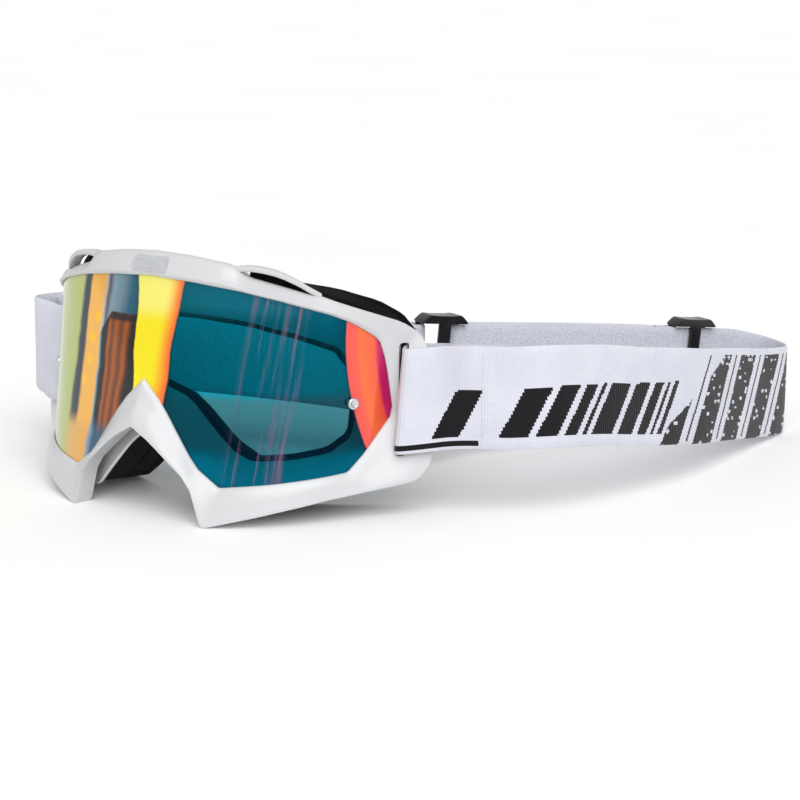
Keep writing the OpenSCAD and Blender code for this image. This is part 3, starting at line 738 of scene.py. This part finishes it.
def puffed(obj, glued, pressure, frames=16):
    """Lets the free sides of a glued foam piece swell a little, as cloth."""
    group = obj.vertex_groups.new(name="glued")
    group.add(glued, 1.0, "REPLACE")
    mod = obj.modifiers.new("swell", "CLOTH")
    s = mod.settings
    s.quality = 6
    s.mass = 0.25
    s.tension_stiffness = s.compression_stiffness = 25
    s.shear_stiffness = 15
    s.bending_stiffness = 4
    s.tension_damping = s.compression_damping = 20
    s.air_damping = 3
    s.vertex_group_mass = "glued"
    s.use_pressure = True
    s.uniform_pressure_force = pressure
    s.effector_weights.gravity = 0
    mod.point_cache.frame_start, mod.point_cache.frame_end = 1, frames
    scene = bpy.context.scene
    for f in range(1, frames + 1):
        scene.frame_set(f)
    applied(obj)
    scene.frame_set(1)
    return obj


foam_rows = [a + b + c for a, b, c in zip(FACE_ROWS, FOAM_OUTER, FOAM_INNER)]
foam_rows = refine(ease(foam_rows, 0.14), 3.4)


def foam_layer(name, near, far, material, node, pressure):
    made = [foam_section(r, near, far, 0.03) for r in foam_rows]
    rings = mirror_rings([m[0] for m in made])
    wide, deep = made[0][1], made[0][2]
    obj = loft(name, rings, closed=True, sharp=50)
    # glued to its neighbours over the middle of its two broad faces
    n = len(rings[0])
    keep = set(range(1, wide - 1)) | set(range(wide + deep, wide + deep + wide - 2))
    glued = [i for i in range(len(obj.data.vertices)) if i % n in keep]
    puffed(obj, glued, pressure)
    for poly in obj.data.polygons:
        poly.use_smooth = True
    look(obj, material, "root", [node])
    return obj


foam_layer("foam_firm", 0.025, 0.485, FIRM, "face_foam_firm", 2.5)
foam_layer("foam_soft", 0.515, 0.845, SOFT, "face_foam_soft", 2.5)
foam_layer("fleece", 0.875, 0.995, FLEECE, "face_fleece", 1.5)

# Run, and the upper and lower edge's height, of the vents' foam
TOP_VENT = [[39.8, 96.2, 92.4], [46, 95.8, 90.8], [53, 94.3, 89.3], [61, 90.8, 87.6],
            [67, 88, 86.2]]
LOW_VENT = [[48, 9.6, 7.5], [62, 12.6, 10.6], [76, 15, 13.1]]


def vent(name, side, rows, face, back, node):
    sections = []
    for run, top, low in refine(rows, 2):
        outline = rounded([(low + 0.15, face - 0.1), (top - 0.15, face - 0.1),
                           (top - 0.15, back + 0.1), (low + 0.15, back + 0.1)], [0.5] * 4)
        sections.append([front(side * run, up, out) for up, out in outline])
    obj = loft(name, sections, sharp=50)
    n = len(sections[0])
    glued = [i for i in range(len(obj.data.vertices)) if i % n not in (1, 2, 3, 4)]
    puffed(obj, glued, 0.8, 10)
    look(obj, VENT, "root", [node])


for side, word in ((1, "left"), (-1, "right")):
    vent("vent_foam_top_" + word + "_pad", side, TOP_VENT, -7.1, -10.8, "vent_foam_top_" + word)
    vent("vent_foam_low_" + word + "_pad", side, LOW_VENT, -1.8, -6, "vent_foam_bottom_" + word)

# ---- Lens ----------------------------------------------------------------
# Run and height of the lens's edges, from the middle to one side
LENS_TOP = [[0, 92], [18, 91], [35, 88.9], [60, 83.4], [73, 79.5], [82.7, 75.6], [94.8, 68.5],
            [104, 44], [105.2, 41]]
LENS_LOW = [[0, 53], [9.3, 44.1], [25.2, 21.8], [35.5, 14.6], [64.4, 17.5], [84.9, 19.2],
            [91.5, 25.2], [103.8, 38.5], [105.2, 38.5]]
END = 105.2
REACH = 1.8                                     # how far the lens goes into its groove
LENS_FACE, LENS_BACK = -0.04, -1.2


def lens_piece():
    sections, uvs = [], []
    parts = 10
    runs = [-END, 1 - END] + [k * 1.5 for k in range(-69, 70)] + [END - 1, END]
    for run in runs:
        reach = REACH if abs(run) < END else 0
        top, low = lookup(abs(run), LENS_TOP) + reach, lookup(abs(run), LENS_LOW) - reach
        ups = [low + (top - low) * k / parts for k in range(parts + 1)]
        sections.append([front(run, up, LENS_FACE) for up in ups]
                        + [front(run, up, LENS_BACK) for up in reversed(ups)])
        uvs.append([(run, up) for up in ups] + [(run, up) for up in reversed(ups)])
    return loft("lens_mirror", sections, uvs=uvs, sharp=50)


look(lens_piece(), LENS, "root", ["lens"])


# ---- Posts and badge -----------------------------------------------------
POST_RUN, POST_UP = 84.5, 45.5


def post(side, node):
    """A turned knob with a rolled rim and a neck through the lens."""
    base = front(side * POST_RUN, POST_UP, 0)
    a = turn(POST_RUN)
    out = Vector((side * math.sin(a), -math.cos(a), 0))
    across_dir, up_dir = Vector((side * math.cos(a), math.sin(a), 0)), Vector((0, 0, 1))
    profile = [(0.0, 2.15), (1.1, 2.15), (1.3, 2.3), (1.7, 2.43), (2.05, 2.36), (2.26, 2.1),
               (2.3, 1.6), (2.22, 1.15), (1.95, 0.85), (1.6, 0.6), (1.75, 0.34), (1.3, 0.26),
               (1.25, -0.6), (1.3, -1.62), (1.75, -1.66), (1.8, -2.0), (1.6, -2.4), (0.0, -2.45)]
    bm = bmesh.new()
    turns = 36
    rings = []
    for r, h in profile:
        centre = Vector(base) + out * h
        ring = []
        for k in range(turns):
            t = 2 * math.pi * k / turns
            ring.append(centre + across_dir * r * math.cos(t) + up_dir * r * math.sin(t))
        rings.append(ring)
    loft("post", rings, bm=bm)
    return look(finish_mesh(bm, node + "_knob", 50), POST, "root", [node])


post(1, "tearoff_post_left")
post(-1, "tearoff_post_right")


BADGE_HALF, BADGE_UP, BADGE_HALF_HEIGHT, BADGE_THICK = 8.5, 96.5, 2.8, 0.62


def band_out(up):
    """How far the frame's top band stands out at a height, in the middle."""
    return 1.7 + (-1.5 - 1.7) * (up - 93) / 8


def badge():
    """A thin plate with cut corners and a shallow tray inside a raised rim."""
    sections = []
    rim, slope, floor_at = 0.7, 0.15, 0.45
    for k in range(-16, 17):
        run = k / 16 * BADGE_HALF
        half = BADGE_HALF_HEIGHT - max(0, abs(run) - BADGE_HALF + 0.9)
        plate = rounded([(-half, 0), (-half, BADGE_THICK), (half, BADGE_THICK), (half, 0)],
                        [0, 0.25, 0.25, 0])
        low = floor_at if half > 1.6 and abs(run) < 7.7 else BADGE_THICK
        tray = [(-half + rim, BADGE_THICK), (-half + rim + slope, low),
                (half - rim - slope, low), (half - rim, BADGE_THICK)]
        sections.append([front(run, BADGE_UP + d, band_out(BADGE_UP + d) + 0.07 + o)
                         for d, o in plate[:4] + tray + plate[4:]])
    return loft("badge", sections, sharp=30)


look(badge(), SILVER, "root", ["badge_plate"])

# ---- Strap ---------------------------------------------------------------
WIDTH, THICK = 40.0, 1.5
RUN_ANGLE, FALL = math.radians(62.2), math.radians(6)
MOVING = 132                                    # from the fixed slider to the moving one
BAR_AT, BAR_AWAY = 9.4, 4                       # a slider's end bars, along and outwards


def run_point(d, away=0.0):
    """A place on the straight doubled stretch: distance along it from the fixed slider,
    and distance outwards."""
    c, s = math.cos(RUN_ANGLE), math.sin(RUN_ANGLE)
    return [60 + d * c - away * s, 117 + d * s + away * c, 21 - d * math.tan(FALL), 0]


def fold(d, toward):
    """A half turn of webbing round an end bar."""
    return [run_point(d + toward * 4.2 * math.cos(math.radians(a)),
                      BAR_AWAY + 4 * math.sin(math.radians(a))) for a in range(-90, 91, 15)]


# Routes of the webbing's middle line: x, y, height of its lower edge, and how far its
# upper edge stands behind the lower one
MAIN = [[125, 63, 28, 0], [139, 76, 28, 0], [147.5, 94, 26, 0], [154, 116, 22, 0],
        [159, 138, 18.5, 0], [161.6, 158, 15, 0], [162, 180, 11.5, 0], [162, 200, 8, 0],
        [162, 223, 4, 0], [162.3, 240, 1.6, 0], [161, 252, 0.2, 0], [156, 259.5, 0, 0],
        [148, 262.5, 1, 0], [140, 261, 2.6, 0], [134.5, 256.8, 4.2, 0]]
SHORT = [[-80, 83, 26, 0], [-53.5, 91, 24.4, 0], [-17, 99.5, 23.5, 0], [19.7, 105.5, 22.5, 0],
         [38, 104, 21.8, 0], [48, 103, 21.6, 0]]
LEFT_OUTER = [[82.4, 56.4, 25, 0], [83.6, 51.3, 25, 2.2], [85.0, 46.8, 25, 5],
              [85.7, 44, 25.1, 6.6], [88, 42.9, 25.4, 7.2], [93.4, 46.2, 26, 6.6],
              [99, 50.4, 26.7, 4.4],
              [104, 53.2, 27.4, 2.3], [112, 56.6, 28, 0]]
LEFT_INNER = [[82.4, 56.4, 25, 0], [82, 59, 25, 0], [83.6, 61.8, 25, 0], [87.6, 63.4, 25.2, 0],
              [93, 63.6, 25.8, 0], [97.5, 62.6, 26.4, 0], [101.6, 59.8, 27, 0],
              [106, 57.9, 27.6, 0], [111.1, 58.4, 28, 0], [121, 63.2, 28, 0]]
RIGHT_OUTER = [[-82.4, 56.4, 25, 0], [-84.1, 51.5, 25, 2.2], [-85.9, 47.2, 25, 5],
               [-86.9, 44.8, 25, 6.6], [-89.5, 44.6, 25, 7.4], [-94, 47.1, 25, 7],
               [-99, 50.4, 25.3, 5.2], [-104.5, 53.4, 25.7, 3], [-109, 57.2, 26, 1],
               [-110, 62, 26.2, 0], [-107, 68, 26.4, 0], [-99, 75, 26.5, 0]]
RIGHT_INNER = [[-82.4, 56.4, 25, 0], [-82, 59, 25, 0], [-83.6, 61.8, 25, 0],
               [-87.6, 63.6, 25, 0], [-94, 64, 25.1, 0], [-99.4, 64.2, 25.4, 0],
               [-102.6, 66.2, 25.7, 0], [-102.2, 69.6, 26.2, 0], [-98.2, 73, 26.4, 0],
               [-88, 77.6, 26.3, 0]]


def measured(route):
    """Distance along a route at each of its points, in plan."""
    out = [0.0]
    for a, b in zip(route, route[1:]):
        out.append(out[-1] + math.dist(a[:2], b[:2]))
    return out


def even(route, step=1.6):
    """The route with points no further apart than step."""
    out = []
    for a, b in zip(route, route[1:]):
        parts = max(1, math.ceil(math.dist(a[:2], b[:2]) / step))
        out += [mix(a, b, k / parts) for k in range(parts)]
    return out + [list(route[-1])]


def outer_side(route, i):
    a, b = route[max(0, i - 1)], route[min(len(route) - 1, i + 1)]
    h = Vector((b[0] - a[0], b[1] - a[1])).normalized()
    return Vector((h.y, -h.x))


def band(name, route, flip=False, start=0.0, square_from=None):
    """A length of webbing, with its printed side on the route's right, or on its left with
    flip. From square_from on it stands square to the falling stretch, not upright. start
    is the texture's place at its beginning."""
    route = even(route)
    lengths = measured(route)
    parts = 12
    corner, bevel = 0.12, 0.9                   # the thin edge, and where full thickness starts
    heights = ([corner, bevel] + [WIDTH * k / parts for k in range(1, parts)]
               + [WIDTH - bevel, WIDTH - corner])
    sections, uvs = [], []
    for i, p in enumerate(route):
        side = outer_side(route, i) * (-1 if flip else 1)
        soft = 0.16 * math.sin(lengths[i] * 0.11) * math.sin(lengths[i] * 0.043 + 1)
        lean = Vector((0, 0))
        if square_from is not None and square_from <= lengths[i]:
            share = max(0, min(1, (lengths[i] - square_from) / 20))
            lean = Vector((math.cos(RUN_ANGLE), math.sin(RUN_ANGLE))) * math.sin(FALL) * share
        ring, uv = [], []
        for face_sign, offset in ((1, 0), (-1, 100)):
            for h in heights if face_sign > 0 else reversed(heights):
                near_edge = h < 0.5 or h > WIDTH - 0.5
                t = THICK / 2 * face_sign * (0.45 if near_edge else 1)
                t += soft * math.sin(math.pi * h / WIDTH)
                x = p[0] + side.x * t + lean.x * (h - WIDTH / 2)
                y = p[1] + side.y * t + lean.y * (h - WIDTH / 2) + p[3] * h / WIDTH
                ring.append((x, y, max(0.02, p[2] + h)))
                uv.append((start + lengths[i], h + offset))
        sections.append(ring)
        uvs.append(uv)
    return loft(name, sections, uvs=uvs, sharp=55)


def bent_at_slot(obj, material, nodes, start, end):
    """Gives the webbing its material, hides the parts it stands for and bakes its place into its
    mesh. start and end are not used.
    """
    look(obj, material, None, nodes)
    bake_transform(obj)


LEFT_BEND = (90, 52, 45), (100, 66, 45)
RIGHT_BEND = (-100, 55, 45), (-100, 74, 45)
front_and_side = smooth(LEFT_OUTER + MAIN, 8)
long_route = (front_and_side + [run_point(d) for d in (MOVING + 14, MOVING, 80, 30, 11.4)]
              + fold(BAR_AT, -1))
bent_at_slot(band("strap_long", long_route, start=-12.0,
                  square_from=measured(front_and_side)[-1]),
             STRAP, ["strap_main", "strap_loop_left"], *LEFT_BEND)
bent_at_slot(band("strap_inner_left", smooth(LEFT_INNER, 8)),
             PLAIN, ["strap_loop_left"], *LEFT_BEND)

short_route = (smooth(RIGHT_OUTER + SHORT, 8) + [run_point(-13.4, 0.6)] + fold(-BAR_AT, 1)
               + [run_point(-12.4, 7.6), run_point(-21.4, 7)])
bent_at_slot(band("strap_near", short_route, flip=True),
             PLAIN, ["strap_short", "strap_loop_right"], *RIGHT_BEND)
bent_at_slot(band("strap_inner_right", smooth(RIGHT_INNER, 8), flip=True),
             PLAIN, ["strap_loop_right"], *RIGHT_BEND)

# The return layer ends just before the hem
BACK_START = (10.6, 8)
back_route = smooth([run_point(*BACK_START), run_point(34, 8.4), run_point(72, 9.4),
                     run_point(104, 8), run_point(MOVING - 17.8, 5.6)], 6)
strap_back = band("strap_back", back_route, square_from=-30)
look(strap_back, PLAIN, "strap", ["strap_return"])
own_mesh(strap_back)


# ---- Sliders, hem and stitches -------------------------------------------
def slider_place(d):
    """Turns a slider's own millimetres (along, away, up) to the row frame."""
    p = run_point(d)
    turned = (Matrix.Rotation(RUN_ANGLE, 4, "Z") @ Matrix.Rotation(FALL, 4, "Y"))
    shift = Vector((p[0], p[1], p[2] + WIDTH / 2))
    return lambda x, y, z: tuple(place(shift + turned @ Vector((x, y, z))))


def slider(name, d, node, body):
    """A ladder of two shaped rails, two round end bars and a flat bar between them."""
    at = slider_place(d)
    rail_low, outer, inner = 20.7, 5.2, -3.6

    def rail(sign):
        outline = [(-11, rail_low), (11, rail_low), (11, 21.4), (7.6, 24.5), (4.6, 24.1),
                   (-4.6, 24.1), (-7.6, 24.5), (-11, 21.4)]
        flat = rounded(outline, [0.5, 0.5, 0.6, 1.2, 2, 2, 1.2, 0.6])
        rings = []
        for y, s in ((inner, 0.955), (inner + 0.5, 0.99), (inner + 1.1, 1.0), (outer - 1.1, 1.0),
                     (outer - 0.5, 0.99), (outer, 0.955)):
            rings.append([at(x * s, y, sign * (22.6 + (z - 22.6) * s)) for x, z in flat])
        return loft("rail", rings, sharp=0, raw=True)

    def end_bar(x, radius=1.1, turns=14):
        angles = [2 * math.pi * k / turns + 0.1 for k in range(turns)]
        rings = [[at(x + radius * math.cos(a), BAR_AWAY + radius * math.sin(a), z)
                  for a in angles] for z in (-21.2, 21.2)]
        return loft("bar", rings, sharp=0, raw=True)

    def flat_bar():
        outline = rounded([(-2.7, -3.6), (2.7, -3.6), (2.7, -1.3), (-2.7, -1.3)], [0.7] * 4)
        rings = [[at(x, y, z) for x, y in outline] for z in (-21.25, 21.25)]
        return loft("bar", rings, sharp=0, raw=True)

    obj = rail(1)
    obj.name = name
    for other in (end_bar(-BAR_AT), end_bar(BAR_AT), flat_bar(), rail(-1)):
        boolean(obj, other, "UNION")
    return look(obj, BLACK, body, [node])


slider("slider_fixed_black", 0, "slider_fixed", "strap")
slider("slider_moving_black", MOVING, "slider_moving", "adjuster")


def hem():
    """The strap's end, folded round the bar and sewn down on itself."""
    at = slider_place(MOVING)
    inner, outer, tail = 1.45, 2.85, -8.0       # radii round the bar, and the sewn end
    ring_out = [(outer * math.sin(math.radians(k)), outer * math.cos(math.radians(k)))
                for k in range(-12, 271, 15)]
    outline = ([(tail, outer - 0.1), (tail + 4, outer)] + ring_out[1:]
               + [(-outer + 0.25, 0.05), (-2.3, 0.25), (-4, 0.3), (tail, 0.25)])
    rings, uvs = [], []
    for z, s in ((-20, 0.9), (-19.6, 1), (-10, 1), (0, 1), (10, 1), (19.6, 1), (20, 0.9)):
        thinned = [(x, 1.5 + (y - 1.5) * s if x < -2 else y * (0.97 + 0.03 * s))
                   for x, y in outline]
        rings.append([at(x - BAR_AT, BAR_AWAY + y, z) for x, y in thinned])
        uvs.append([(k * 0.9, z + 20) for k in range(len(outline))])
    obj = loft("hem", rings, uvs=uvs, sharp=40, raw=True)
    turns = 28
    hole = [[at(inner * math.cos(2 * math.pi * k / turns) - BAR_AT,
                BAR_AWAY + inner * math.sin(2 * math.pi * k / turns), z)
             for k in range(turns)] for z in (-21, 21)]
    boolean(obj, loft("hole", hole, sharp=0, raw=True), "DIFFERENCE")
    return look(obj, PLAIN, "adjuster", ["strap_hem"])


hem()


def stitches(name, at, columns, node, body):
    """Rows of short slanted stitches, each a small arch of thread."""
    bm = bmesh.new()
    bm.loops.layers.uv.verify()
    pitch, radius, rise, slant, long = 3, 0.2, 0.1, 0.7, 2.1
    angles = [2 * math.pi * j / 8 for j in range(8)]
    for x, off in columns:
        for number in range(12):
            rings, uvs = [], []
            for k in range(7):
                t = k / 6
                arch = math.sin(math.pi * t)
                r = radius * (0.55 + 0.45 * arch)
                y = off + math.copysign(rise * arch, off)
                z = 2.5 + pitch * number + long * t
                rings.append([at(x + slant * t + r * math.cos(a), y + r * math.sin(a), z)
                              for a in angles])
                uvs.append([(j, t * 3) for j in range(8)])
            loft(name, rings, bm=bm, uvs=uvs, raw=True)
    return look(finish_mesh(bm, name, 0), THREAD, body, [node])


def seam_place(p, angle):
    """Turns a seam's own millimetres, from a point on a route, to the row frame."""
    turned = Matrix.Rotation(math.radians(angle), 4, "Z")
    shift = Vector((p[0], p[1], p[2]))
    return lambda x, y, z: tuple(place(shift + turned @ Vector((x, y, z))))


SEAM = 1.15                                     # the thread's middle, off the webbing's
LEFT_SEAM_AT, LEFT_SEAM_TURN = smooth([[112, 56.6, 28], [125, 63, 28], [139, 76, 28]], 3)[1], 30
RIGHT_SEAM_AT = smooth([[-99, 75, 26.5], [-80, 83, 26], [-53.5, 91, 24.4]], 4)[1]
RIGHT_SEAM_TURN = 157
FIXED_SEAM_AWAY, HEM_SEAM_AWAY = 7.35 + SEAM, 7.2
stitches("stitches_left", seam_place(LEFT_SEAM_AT, LEFT_SEAM_TURN),
         ((0, -SEAM), (3, -SEAM)), "stitching_left", "strap")
stitches("stitches_right", seam_place(RIGHT_SEAM_AT, RIGHT_SEAM_TURN),
         ((0, SEAM), (3, SEAM)), "stitching_right", "strap")
at_fixed, at_moving = slider_place(0), slider_place(MOVING)
stitches("stitches_fixed", lambda x, y, z: at_fixed(x, y, z - WIDTH / 2),
         ((-17.9, FIXED_SEAM_AWAY), (-20.4, FIXED_SEAM_AWAY)), "stitching_fixed", "strap")
stitches("stitches_hem", lambda x, y, z: at_moving(x, y, z - WIDTH / 2),
         ((-13.6, HEM_SEAM_AWAY), (-16.1, HEM_SEAM_AWAY)), "stitching_hem", "adjuster")

# ---- Floor, light and camera ---------------------------------------------
def floor(radius=15, sides=96):
    bm = bmesh.new()
    bm.faces.new([bm.verts.new((radius * math.cos(a), radius * math.sin(a), 0))
                  for a in [2 * math.pi * k / sides for k in range(sides)]])
    obj = finish_mesh(bm, "floor", 0)
    n = Nodes("floor_pale")
    tint = n.step(n.noise(3, 2), 0.3, 0.7, 0.0, 1.0)
    n.surface(n.blend(tint, linear(244, 244, 244), linear(248, 248, 248)), 0.75, specular=0.2)
    obj.data.materials.append(n.material)


floor()
world = bpy.data.worlds.new("studio")
bpy.context.scene.world = world
world.use_nodes = True
sky = world.node_tree.nodes["Background"]
sky.inputs["Color"].default_value = (1, 1, 1, 1)
sky.inputs["Strength"].default_value = 0.62

sun = bpy.data.lights.new("soft_sun", "SUN")
sun.energy, sun.angle = 2.4, math.radians(58)
sunlight = bpy.data.objects.new("soft_sun", sun)
sunlight.rotation_euler = Vector((-0.55, 0.62, -0.72)).to_track_quat("-Z", "Y").to_euler()
bpy.context.scene.collection.objects.link(sunlight)

azimuth, elevation = math.radians(32.311), math.radians(13)
back = Vector((math.sin(azimuth) * math.cos(elevation),
               -math.cos(azimuth) * math.cos(elevation), math.sin(elevation)))
camera = bpy.data.cameras.new("camera")
camera.lens, camera.sensor_width = 85.88, 36
eye = bpy.data.objects.new("camera", camera)
eye.location = (0.43757, -0.67732, 0.20895)
eye.rotation_euler = (-back).to_track_quat("-Z", "Y").to_euler()
bpy.context.scene.collection.objects.link(eye)
bpy.context.scene.camera = eye
bpy.context.scene.view_settings.view_transform = "Standard"
bpy.context.scene.view_settings.look = "None"
